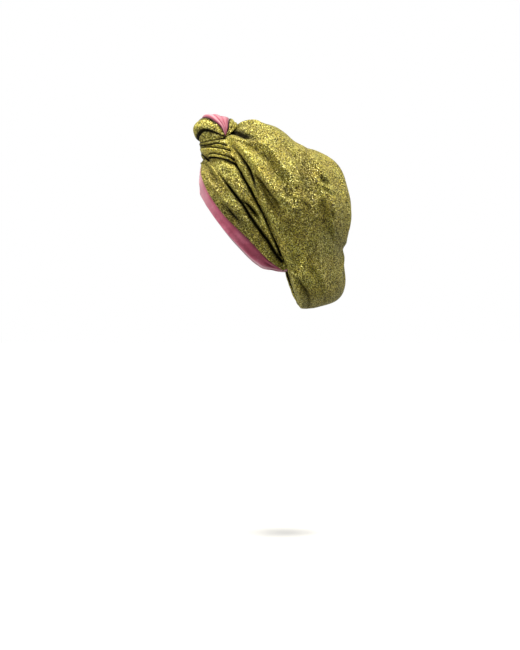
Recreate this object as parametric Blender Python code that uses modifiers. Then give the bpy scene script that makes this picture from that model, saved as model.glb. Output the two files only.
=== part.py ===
"""A slouchy knotted turban in gold metallic knit with a velvet brow band.

Blender 4.5, metres, +Z up. The wearer faces -Y and the wearer's left is +X. The origin lies on the crown's
inner face over the top of the wearer's head, in the mid-plane. Every length in the tables is in millimetres
and every angle is in degrees. The turban keeps the form that it has when worn: a hollow crown gathered into a
topknot, two pleated wraps from behind the ears to the knot, a velvet band over the brow, a pleated collar
round the foot of the knot, and the knot's four rolls, each a solid of its own.
"""

import math

import bmesh
import bpy
from mathutils import Vector

MM = 0.001

# Driving dimensions
CLOTH = 2.0  # wall of the doubled knit
VELVET = 2.2  # wall of the velvet band, pile included
WRAP_LIFT = 2.7  # from the velvet's inner face to the wraps' inner face
GAP = 0.4  # between one roll of the knot and the next
KNOT_Y = -81.1  # the line that the knot's rolls are pinched to, from side to side
KNOT_Z = -7.6
KNOT_HALF_WIDTH = 31.0
KNOT_ROUNDNESS = 2.3
ROLL_CORE = 0.3  # inner radius of a roll as a share of the outer one

# Faces along and across each sheet
CROWN_FACES = (40, 36)
WRAP_FACES = (18, 12)
VELVET_FACES = (30, 3)
COLLAR_FACES = (22, 9)
ROLL_FACES = (18, 7)

# The crown's hoops, from the knot over the head to the nape. Each runs from the right edge over the spine to
# the left edge; the spine is the mid-plane outline and the edge is the border that lies on the wraps.
CROWN_COLUMNS = ("spine_y", "spine_z", "edge_y", "edge_z", "half_width", "edge_x")
CROWN_HOOPS = (
    (-73.5, -3.2, -77.5, -8.0, 32.5, 32.0),
    (-64.6, 6.6, -73.8, -15.0, 41.5, 40.8),
    (-54.5, 17.6, -66.0, -29.6, 54.0, 52.7),
    (-39.9, 20.0, -60.8, -40.6, 63.5, 61.5),
    (-26.1, 15.8, -57.1, -50.2, 70.0, 65.7),
    (-12.4, 11.0, -52.3, -61.9, 76.0, 71.6),
    (0.0, 2.6, -46.8, -73.6, 81.0, 76.0),
    (12.4, -8.4, -41.0, -85.3, 85.0, 78.3),
    (26.1, -14.8, -34.8, -96.9, 88.0, 80.7),
    (41.3, -20.3, -28.9, -108.6, 90.0, 82.7),
    (56.4, -27.3, -23.8, -120.3, 91.5, 84.2),
    (68.8, -36.2, -19.5, -131.3, 92.5, 85.3),
    (78.4, -49.0, -13.8, -142.3, 93.0, 85.4),
    (84.8, -67.5, -8.5, -153.3, 93.0, 85.2),
    (90.1, -90.1, -4.7, -162.9, 92.5, 84.3),
    (90.5, -110.7, -0.6, -171.9, 91.5, 83.0),
    (86.3, -135.4, 2.8, -180.8, 89.5, 80.8),
    (79.6, -158.5, 3.6, -187.7, 86.5, 77.5),
    (81.2, -180.0, 3.6, -194.6, 83.5, 71.0),
    (83.3, -202.0, 4.6, -200.8, 79.5, 64.5),
    (79.0, -219.0, 6.5, -206.9, 74.0, 57.5),
    (68.0, -229.0, 8.7, -213.1, 67.0, 51.0),
    (48.1, -235.2, 11.2, -219.3, 58.0, 44.0),
    (31.6, -237.8, 14.8, -225.5, 46.0, 36.0),
    (19.3, -233.0, 18.6, -231.0, 33.0, 27.0),
)

# The crown's folds as seen from the side. A path runs away from the knot as (y, z) points; a height below
# nought is a valley; a share is the part of the height left at that end.
FOLD_COLUMNS = ("height", "near_width", "far_width", "near_share", "far_share", "path")
CROWN_FOLDS = (
    (-5.0, 3.0, 6.0, 0.6, 0.0, ((-70.0, 1.5), (-62.0, -2.0), (-48.0, -7.6), (-33.0, -10.3))),
    (3.0, 4.0, 9.0, 0.3, 0.2, ((-70.0, -3.5), (-55.0, -8.9), (-31.6, -19.9), (-13.8, -33.7))),
    (-4.5, 4.0, 8.0, 0.3, 0.2, ((-60.0, -17.0), (-31.6, -30.9), (-11.0, -48.8), (8.3, -85.9))),
    (3.5, 4.0, 10.0, 0.3, 0.2, ((-60.0, -15.0), (-38.0, -43.0), (-13.0, -73.0), (9.6, -102.4))),
    (-4.5, 4.0, 7.0, 0.2, 0.6, ((-42.0, -47.0), (-26.0, -69.0), (-6.9, -96.9), (4.0, -112.0))),
    (3.0, 3.0, 6.0, 0.2, 0.3, ((-62.0, -35.0), (-39.9, -64.0), (-19.0, -92.0), (-3.0, -124.0))),
    (-7.0, 6.5, 9.0, 0.3, 0.5, ((19.3, -17.2), (39.0, -45.0), (53.0, -75.0), (64.0, -115.0), (77.0, -153.3))),
    (4.0, 8.0, 10.0, 0.2, 0.3, ((12.0, -24.0), (30.0, -52.0), (43.0, -80.0), (54.0, -118.0), (66.0, -155.0))),
)

# The covered brow and temples, as level cuts: the face that the velvet band lies on
BODY_COLUMNS = ("height", "front_y", "half_width", "middle_y")
BODY_LEVELS = (
    (-10.0, -93.0, 23.0, -66.0),
    (-22.0, -99.5, 31.0, -60.0),
    (-34.0, -108.0, 40.5, -54.0),
    (-42.0, -114.4, 48.5, -48.0),
    (-56.0, -116.2, 59.0, -41.0),
    (-72.0, -115.0, 66.5, -35.0),
    (-90.0, -109.6, 71.0, -30.0),
    (-110.0, -107.5, 74.0, -26.0),
    (-130.0, -106.0, 76.0, -25.0),
    (-150.0, -103.0, 76.0, -24.0),
    (-170.0, -98.0, 74.0, -22.0),
    (-190.0, -92.0, 71.0, -20.0),
    (-210.0, -86.0, 66.0, -18.0),
)
BODY_SQUARENESS = 2.25
BACK_DEPTH = 95.0

# The wraps' borders, from under the knot's collar to behind the ear
WRAP_COLUMNS = ("front_y", "front_z", "rear_y", "rear_z")
WRAP_STATIONS = (
    (-125.0, -25.0, -60.0, -24.0),
    (-123.0, -33.0, -53.0, -34.0),
    (-105.5, -60.0, -47.0, -52.0),
    (-93.0, -87.0, -37.0, -75.0),
    (-71.0, -116.0, -22.5, -104.0),
    (-47.5, -143.5, -9.0, -135.0),
    (-24.5, -166.0, 2.0, -162.0),
    (-4.0, -183.0, 5.0, -179.5),
)

# The wraps' pleats across the wrap, from the front border at 0 to the rear border at 1
PLEAT_COLUMNS = ("middle", "half_width", "height")
WRAP_PLEATS = (
    (0.18, 0.22, 2.4),
    (0.52, 0.16, 2.6),
    (0.80, 0.15, 2.0),
)

# The velvet band's borders by the turn round the head from the middle of the brow
VELVET_COLUMNS = ("turn", "lower_z", "upper_z")
VELVET_STATIONS = (
    (0.0, -85.5, -28.0),
    (20.0, -96.5, -38.0),
    (40.0, -119.0, -66.0),
    (60.0, -147.5, -98.0),
    (80.0, -175.0, -135.0),
    (92.0, -182.0, -163.0),
    (101.0, -186.5, -180.0),
)

# The knot's collar: its outer face as level cuts, and its borders by the turn from the middle of the brow
COLLAR_LEVEL_COLUMNS = ("height", "front_y", "half_width", "middle_y")
COLLAR_LEVELS = (
    (-7.0, -119.5, 31.5, -76.0),
    (-15.0, -117.5, 37.0, -72.0),
    (-25.0, -117.0, 44.5, -65.0),
    (-35.0, -119.4, 53.8, -59.0),
    (-45.0, -123.0, 62.0, -52.0),
)
COLLAR_BORDER_COLUMNS = ("turn", "lower_z", "upper_z")
COLLAR_BORDERS = (
    (0.0, -35.0, -7.8),
    (30.0, -32.5, -7.8),
    (55.0, -33.5, -8.3),
    (75.0, -37.5, -9.8),
    (90.0, -41.0, -12.3),
)
COLLAR_PLEATS = (
    (0.12, 0.13, 1.6),
    (0.40, 0.16, 2.4),
    (0.70, 0.13, 1.8),
    (0.92, 0.09, 1.2),
)

# The knot's rolls: their outer radius by the angle from the crown side over the top to the front
RADIUS_COLUMNS = ("angle", "radius")
ROLL_RADII = (
    (45.0, 24.5),
    (60.0, 27.8),
    (80.0, 31.4),
    (100.0, 35.2),
    (120.0, 42.3),
    (140.0, 47.3),
    (160.0, 48.4),
    (180.0, 42.0),
)
# The borders between the rolls, each in the mid-plane, half-way out and at the pinch
BORDER_COLUMNS = ("middle", "half_way", "near_pinch", "pinch")
ROLL_BORDERS = {
    "crown": (50.0, 50.0, 50.0, 50.0),
    "tuck": (79.0, 78.0, 77.0, 76.0),
    "velvet": (138.0, 135.0, 127.0, 106.0),
    "loop": (172.0, 163.0, 149.0, 135.0),
    "core": (180.0, 180.0, 180.0, 180.0),
}
# How far each roll's outer face falls to its borders
ROLL_CREASES = {"knot_tuck": 3.5, "knot_velvet": 2.0, "knot_loop": 6.0, "knot_core": 5.0}

# Colour, roughness and metallic value
FINISHES = {
    "knit": ((0.36, 0.30, 0.07), 0.45, 0.6),
    "velvet": ((0.60, 0.16, 0.27), 0.8, 0.0),
}


def spline(rows, t):
    """The table's columns at t, from 0 at the first row to 1 at the last, on a smooth curve through every row."""
    place = min(max(t, 0.0), 1.0) * (len(rows) - 1)
    index = min(int(place), len(rows) - 2)
    part = place - index
    before = rows[max(index - 1, 0)]
    first = rows[index]
    second = rows[index + 1]
    after = rows[min(index + 2, len(rows) - 1)]
    values = []
    for a, b, c, d in zip(before, first, second, after):
        values.append(
            b
            + 0.5 * part * (c - a)
            + part**2 * (a - 2.5 * b + 2.0 * c - 0.5 * d)
            + part**3 * (1.5 * b - 1.5 * c + 0.5 * d - 0.5 * a)
        )
    return values


def look_up(rows, key):
    """The other columns of a table at a value of its first column, which rises or falls from row to row."""
    sign = 1.0 if rows[-1][0] > rows[0][0] else -1.0
    index = 0
    while index < len(rows) - 2 and sign * (key - rows[index + 1][0]) > 0:
        index += 1
    low, high = rows[index][0], rows[index + 1][0]
    share = (index + (key - low) / (high - low)) / (len(rows) - 1)
    return spline(rows, share)[1:]


def smooth(low, high, value):
    """0 below low, 1 above high and a smooth step between."""
    share = min(max((value - low) / (high - low), 0.0), 1.0)
    return share * share * (3.0 - 2.0 * share)


def power(value, exponent):
    return math.copysign(abs(value) ** exponent, value)


def normal_of(surface, u, v):
    """The unit normal of surface(u, v), by small differences."""
    step = 2e-3
    along_u = surface(u + step, v) - surface(u - step, v)
    along_v = surface(u, min(v + step, 1.0)) - surface(u, max(v - step, 0.0))
    return along_u.cross(along_v).normalized()


def nearest(path, y, z):
    """The distance from (y, z) to a path, and how far along the path the nearest point is."""
    best, share = 1e9, 0.0
    for index in range(len(path) - 1):
        y0, z0 = path[index]
        y1, z1 = path[index + 1]
        length = (y1 - y0) ** 2 + (z1 - z0) ** 2
        part = min(max(((y - y0) * (y1 - y0) + (z - z0) * (z1 - z0)) / length, 0.0), 1.0)
        distance = math.hypot(y - y0 - part * (y1 - y0), z - z0 - part * (z1 - z0))
        if distance < best:
            best, share = distance, (index + part) / (len(path) - 1)
    return best, share


def fold_height(folds, y, z):
    """The sum of the folds' heights at a point of the side view."""
    total = 0.0
    for height, near_width, far_width, near_share, far_share, path in folds:
        distance, share = nearest(path, y, z)
        width = near_width + (far_width - near_width) * share
        fade = (near_share + (1.0 - near_share) * smooth(0.0, 0.3, share)) * (
            1.0 - (1.0 - far_share) * smooth(0.6, 1.0, share)
        )
        total += height * fade * math.exp(-((distance / width) ** 2))
    return total


def pleat_height(pleats, across):
    """The height of the pleats at a place across a sheet, from 0 to 1."""
    return max(
        height * max(0.0, 1.0 - ((across - middle) / half_width) ** 2) ** 0.7
        for middle, half_width, height in pleats
    )


# The crown
LIP_START = 0.78


def crown_base(s, t):
    """The crown's outer face with no folds. s runs from the right edge at -1 to the left edge at 1."""
    spine_y, spine_z, edge_y, edge_z, half_width, edge_x = spline(CROWN_HOOPS, t)
    angle = math.radians(90.0 * s)
    reach = math.cos(angle) ** 0.95
    width = half_width * power(math.sin(angle), 0.95)
    width += math.copysign(1.0, s) * (edge_x - half_width) * smooth(LIP_START, 1.0, abs(s))
    return Vector((width, edge_y + (spine_y - edge_y) * reach, edge_z + (spine_z - edge_z) * reach))


def crown_face(s, t):
    """The crown's outer face with its folds, which fade at the spine and at the border."""
    point = crown_base(s, t)
    height = fold_height(CROWN_FOLDS, point.y, point.z)
    height *= smooth(0.02, 0.13, abs(s)) * (1.0 - smooth(0.86, 0.99, abs(s)))
    out = normal_of(crown_base, max(min(s, 0.995), -0.995), t)
    return point + out * height


# The brow and temples
def level_face(levels, turn, z):
    """A face given as level cuts, at this turn from the mid-plane and this height."""
    front_y, half_width, middle_y = look_up(levels, z)
    exponent = 2.0 / BODY_SQUARENESS
    forward = power(math.cos(math.radians(turn)), exponent)
    depth = middle_y - front_y if forward > 0 else BACK_DEPTH
    return Vector((half_width * power(math.sin(math.radians(turn)), exponent), middle_y - forward * depth, z))


def level_turn(levels, y, z):
    """The turn from the mid-plane at which a face given as level cuts passes y at height z."""
    front_y, half_width, middle_y = look_up(levels, z)
    depth = middle_y - front_y if y < middle_y else BACK_DEPTH
    share = min(max((middle_y - y) / depth, -1.0), 1.0)
    return math.degrees(math.acos(power(share, BODY_SQUARENESS / 2.0)))


def lifted(levels, turn, z, lift):
    """A point at this lift off a face given as level cuts."""
    across = level_face(levels, turn + 0.5, z) - level_face(levels, turn - 0.5, z)
    rise = level_face(levels, turn, z + 0.5) - level_face(levels, turn, z - 0.5)
    return level_face(levels, turn, z) + across.cross(rise).normalized() * lift


def wrap_face(a, b):
    """The left wrap's outer face: a runs from the knot to the ear, b from the front border to the rear one."""
    front_y, front_z, rear_y, rear_z = spline(WRAP_STATIONS, a)
    first = max(level_turn(BODY_LEVELS, front_y, front_z), 0.3)
    last = level_turn(BODY_LEVELS, rear_y, rear_z)
    turn = first + (last - first) * b
    z = front_z + (rear_z - front_z) * b
    height = pleat_height(WRAP_PLEATS, b) * (0.3 + 0.7 * smooth(0.03, 0.25, a)) * (1.0 - 0.5 * smooth(0.7, 1.0, a))
    return lifted(BODY_LEVELS, turn, z, WRAP_LIFT + CLOTH + height)


def velvet_face(u, v):
    """The velvet band's outer face: u runs from the right ear to the left ear, v from the lower border up."""
    turn = u * VELVET_STATIONS[-1][0]
    lower_z, upper_z = look_up(VELVET_STATIONS, abs(turn))
    return lifted(BODY_LEVELS, turn, lower_z + (upper_z - lower_z) * v, VELVET)


def collar_face(u, v):
    """The collar's outer face: u runs from the right pinch to the left pinch, v from the lower border up."""
    turn = u * COLLAR_BORDERS[-1][0]
    lower_z, upper_z = look_up(COLLAR_BORDERS, abs(turn))
    z = lower_z + (upper_z - lower_z) * v
    height = pleat_height(COLLAR_PLEATS, 1.0 - v) - 1.0
    return lifted(COLLAR_LEVELS, turn, z, height * smooth(0.0, 0.25, 1.0 - abs(u)))


def sheet(name, faces, surface, wall, cloth):
    """A sheet of cloth: a grid whose corners lie on surface(x, y), each from -1 to 1, thickened inwards."""
    mesh = bpy.data.meshes.new(name)
    form = bmesh.new()
    bmesh.ops.create_grid(form, x_segments=faces[0], y_segments=faces[1], size=1.0)
    for corner in form.verts:
        corner.co = surface(corner.co.x, corner.co.y) * MM
    form.to_mesh(mesh)
    form.free()
    piece = bpy.data.objects.new(name, mesh)
    mesh.materials.append(finish(name, cloth))
    thicken = piece.modifiers.new("wall", "SOLIDIFY")
    thicken.thickness = wall * MM
    thicken.offset = -1.0
    return piece


# The knot
def border_angle(name, share):
    """The angle of a border between two rolls, at a share of the way from the mid-plane to the pinch."""
    row = ROLL_BORDERS[name]
    return spline([(value,) for value in row], share)[0]


def roll_point(lower, upper, crease, share, across, depth):
    """A point of a roll: share from -1 to 1 between the pinches, across from 0 to 1 between its borders.

    depth is 0 on the outer face and 1 on the inner one.
    """
    low = border_angle(lower, abs(share))
    high = border_angle(upper, abs(share))
    fall = (1.0 - abs(share) ** KNOT_ROUNDNESS) ** (1.0 / KNOT_ROUNDNESS)
    fall = max(fall, 0.1)
    middle = math.radians(low + (high - low) * across)
    outer = look_up(ROLL_RADII, math.degrees(middle))[0] * fall
    edge = abs(2.0 * across - 1.0) ** 2.6
    outer -= min(crease, 0.3 * outer) * edge
    radius = outer + (outer * ROLL_CORE + 0.8 - outer) * depth
    inset = GAP / 2.0 / radius
    angle = math.radians(low) + inset + (math.radians(high - low) - 2.0 * inset) * across
    return Vector((share * KNOT_HALF_WIDTH, KNOT_Y + radius * math.cos(angle), KNOT_Z + radius * math.sin(angle)))


def roll(name, lower, upper, cloth):
    """One roll of the knot, from the left pinch over the mid-plane to the right pinch."""
    lengths, widths = ROLL_FACES
    ring = [(across / widths, 0.0) for across in range(widths + 1)] + [(1.0, 1.0), (0.0, 1.0)]
    form = bmesh.new()
    rows = []
    for place in range(lengths + 1):
        share = math.sin(math.radians(-90.0 + 180.0 * place / lengths)) * 0.994
        rows.append([form.verts.new(roll_point(lower, upper, ROLL_CREASES[name], share, a, d) * MM) for a, d in ring])
    for first, second in zip(rows, rows[1:]):
        for index in range(len(ring)):
            after = (index + 1) % len(ring)
            form.faces.new((first[index], first[after], second[after], second[index]))
    form.faces.new(rows[0][::-1])
    form.faces.new(rows[-1])
    bmesh.ops.recalc_face_normals(form, faces=form.faces)
    bmesh.ops.triangulate(form, faces=form.faces, quad_method="SHORT_EDGE")
    mesh = bpy.data.meshes.new(name)
    form.to_mesh(mesh)
    form.free()
    mesh.materials.append(finish(name, cloth))
    return bpy.data.objects.new(name, mesh)


def finish(piece, finish_name):
    """The piece's own material, from the finishes table."""
    colour, roughness, metallic = FINISHES[finish_name]
    material = bpy.data.materials.new(f"{piece}_{finish_name}")
    material.use_nodes = True
    shader = material.node_tree.nodes["Principled BSDF"]
    shader.inputs["Base Color"].default_value = (*colour, 1.0)
    shader.inputs["Roughness"].default_value = roughness
    shader.inputs["Metallic"].default_value = metallic
    return material


def main():
    for old in list(bpy.data.objects):
        bpy.data.objects.remove(old)
    parts = bpy.data.collections.new("turban")
    bpy.context.scene.collection.children.link(parts)

    def right_wrap(x, y):
        point = wrap_face((1 - x) / 2, (y + 1) / 2)
        return Vector((-point.x, point.y, point.z))

    pieces = [
        sheet("crown", CROWN_FACES, lambda x, y: crown_face(x, (y + 1) / 2), CLOTH, "knit"),
        sheet("wrap_left", WRAP_FACES, lambda x, y: wrap_face((x + 1) / 2, (y + 1) / 2), CLOTH, "knit"),
        sheet("wrap_right", WRAP_FACES, right_wrap, CLOTH, "knit"),
        sheet("velvet_band", VELVET_FACES, lambda x, y: velvet_face(x, (y + 1) / 2), VELVET, "velvet"),
        sheet("knot_collar", COLLAR_FACES, lambda x, y: collar_face(x, (y + 1) / 2), CLOTH, "knit"),
        roll("knot_tuck", "crown", "tuck", "knit"),
        roll("knot_velvet", "tuck", "velvet", "velvet"),
        roll("knot_loop", "velvet", "loop", "knit"),
        roll("knot_core", "loop", "core", "knit"),
    ]
    for piece in pieces:
        parts.objects.link(piece)


main()
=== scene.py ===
"""The looks of a slouchy knotted turban in gold metallic knit with a pink velvet brow band.

Every cloth piece starts as a flat grid, and every roll of the knot as a ball. Their corners are moved onto
the form that the turban keeps when worn, with its gathers, pleats and creases. The tables are in millimetres
and degrees.
"""

import bpy
import numpy as np
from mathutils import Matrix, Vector, noise


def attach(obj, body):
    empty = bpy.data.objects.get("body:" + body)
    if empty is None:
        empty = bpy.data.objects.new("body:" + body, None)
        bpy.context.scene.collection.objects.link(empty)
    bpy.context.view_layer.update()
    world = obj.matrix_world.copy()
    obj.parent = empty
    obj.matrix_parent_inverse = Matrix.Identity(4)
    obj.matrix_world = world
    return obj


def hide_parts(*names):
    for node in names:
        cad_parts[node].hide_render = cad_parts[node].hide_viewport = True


MM = 0.001

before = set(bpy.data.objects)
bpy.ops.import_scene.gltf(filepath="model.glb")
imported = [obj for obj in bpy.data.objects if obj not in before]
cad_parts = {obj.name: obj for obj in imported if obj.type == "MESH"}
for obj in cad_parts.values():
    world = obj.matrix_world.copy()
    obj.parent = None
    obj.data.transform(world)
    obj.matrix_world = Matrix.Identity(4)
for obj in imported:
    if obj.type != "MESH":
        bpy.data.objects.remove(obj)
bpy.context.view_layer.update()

# Driving sizes
CLOTH = 2.0  # wall of the doubled knit
VELVET = 2.2  # wall of the velvet band, pile included
WRAP_LIFT = 2.7  # from the velvet's inner face to the wraps' inner face
WRAP_FULLNESS = 1.4  # how far the wraps' pleats stand out over a plain wall
COLLAR_FULLNESS = 0.8  # the same for the collar's pleats
COLLAR_REBATE = 2.4  # how much lower the wraps lie under the collar
RIGHT_RISE = 4.0  # how much higher the band and the wrap end on the right
ROLL_GAP = 0.4  # between one roll of the knot and the next
KNOT_Y = -81.1  # the line that the knot's rolls are pinched to, from side to side
KNOT_Z = -5.6
KNOT_HALF_WIDTH = 31.0  # from the mid-plane to each pinch
KNOT_ROUNDNESS = 2.3  # how the rolls fall away to the pinches: 2 is an ellipse, and more is squarer
ROLL_CORE = 0.3  # inner radius of a roll as a share of the outer one

# Where the camera stands to the wearer's left, the point on the mid-plane that it looks at, and its lens
CAMERA_X = 2000.0
AIM_Y = -34.4
AIM_Z = -260.6
LENS = 80.55
SENSOR_WIDTH = 36.0
FLOOR_Z = -543.8

# Crown: hoops from the knot over the top to the nape. Each stands on the border that lies on the wraps, the
# edge, and rises to the spine on the mid-plane. Columns: spine_y, spine_z, edge_y, edge_z, half_width, edge_x
CROWN_HOOPS = (
    (-85.0, 1.0, -85.0, -8.0, 27.0, 27.0),
    (-67.5, 10.5, -77.0, -18.0, 40.5, 38.8),
    (-54.5, 17.6, -71.5, -34.0, 54.0, 51.0),
    (-39.9, 20.0, -65.0, -47.3, 63.5, 60.0),
    (-26.1, 15.8, -60.0, -57.0, 70.0, 65.0),
    (-12.4, 11.0, -53.8, -68.9, 76.0, 71.3),
    (0.0, 2.6, -46.3, -80.6, 81.0, 76.0),
    (12.4, -8.4, -40.7, -92.1, 85.0, 78.8),
    (26.1, -14.8, -34.8, -103.4, 88.0, 81.2),
    (41.3, -20.3, -29.1, -114.9, 90.0, 83.0),
    (56.4, -27.3, -24.2, -126.2, 91.5, 84.4),
    (68.8, -36.2, -20.1, -136.8, 92.5, 85.4),
    (78.4, -49.0, -14.7, -147.3, 93.0, 85.4),
    (84.8, -67.5, -9.6, -157.9, 93.0, 85.2),
    (90.1, -90.1, -6.0, -167.0, 92.5, 84.3),
    (90.5, -110.7, -2.0, -175.7, 91.5, 83.0),
    (86.3, -135.4, 1.3, -184.0, 89.0, 80.8),
    (79.6, -158.5, 2.6, -190.5, 88.6, 78.5),
    (81.2, -180.0, 3.4, -196.5, 87.8, 74.0),
    (83.3, -202.0, 4.6, -202.3, 86.5, 69.0),
    (79.0, -219.0, 6.0, -209.0, 82.0, 61.5),
    (68.0, -229.0, 8.8, -216.0, 73.5, 52.0),
    (48.1, -235.2, 12.0, -222.5, 60.5, 41.5),
    (31.6, -237.8, 15.6, -227.8, 44.0, 30.0),
    (21.0, -235.0, 18.6, -231.5, 26.0, 19.0),
)
CROWN_ROUNDNESS = 0.95  # the hoops' power: 1 is round, and less is a little square
LIP_START = 0.78  # how far down from the spine the hoops begin to draw in to the border
LIP_HEIGHT = 2.6  # how far the turned border stands out
LIP_FALL = 3.0  # and how far its edge falls back
NAPE_LIP_HEIGHT = 1.2  # the same at the end of the bag
NAPE_LIP_FALL = 2.4
BORDER_CROWDING = 0.2  # how much finer the grid is at the border
TOP_LIGHT = 0.1  # a highlight painted on the top, where the most light falls
TOP_LIGHT_RANGE = (-70.0, -10.0)  # by the height

# Where the folds of each view come in: the side's down from the spine, the back's by y and the top's by z.
# All of them fade out before the border. The shares are of the way from the spine to the border.
SPINE_BLEND = (0.02, 0.16)
BACK_BLEND = (25.0, 60.0)
TOP_BLEND = (-40.0, -5.0)
BORDER_BLEND = (0.90, 0.985)

# On the far side the folds wander from their mirrored places: how far, the wave's length and its start
FAR_WANDER_Y = (3.0, 23.0, 0.8)
FAR_WANDER_Z = (3.5, 26.0, 2.1)
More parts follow.
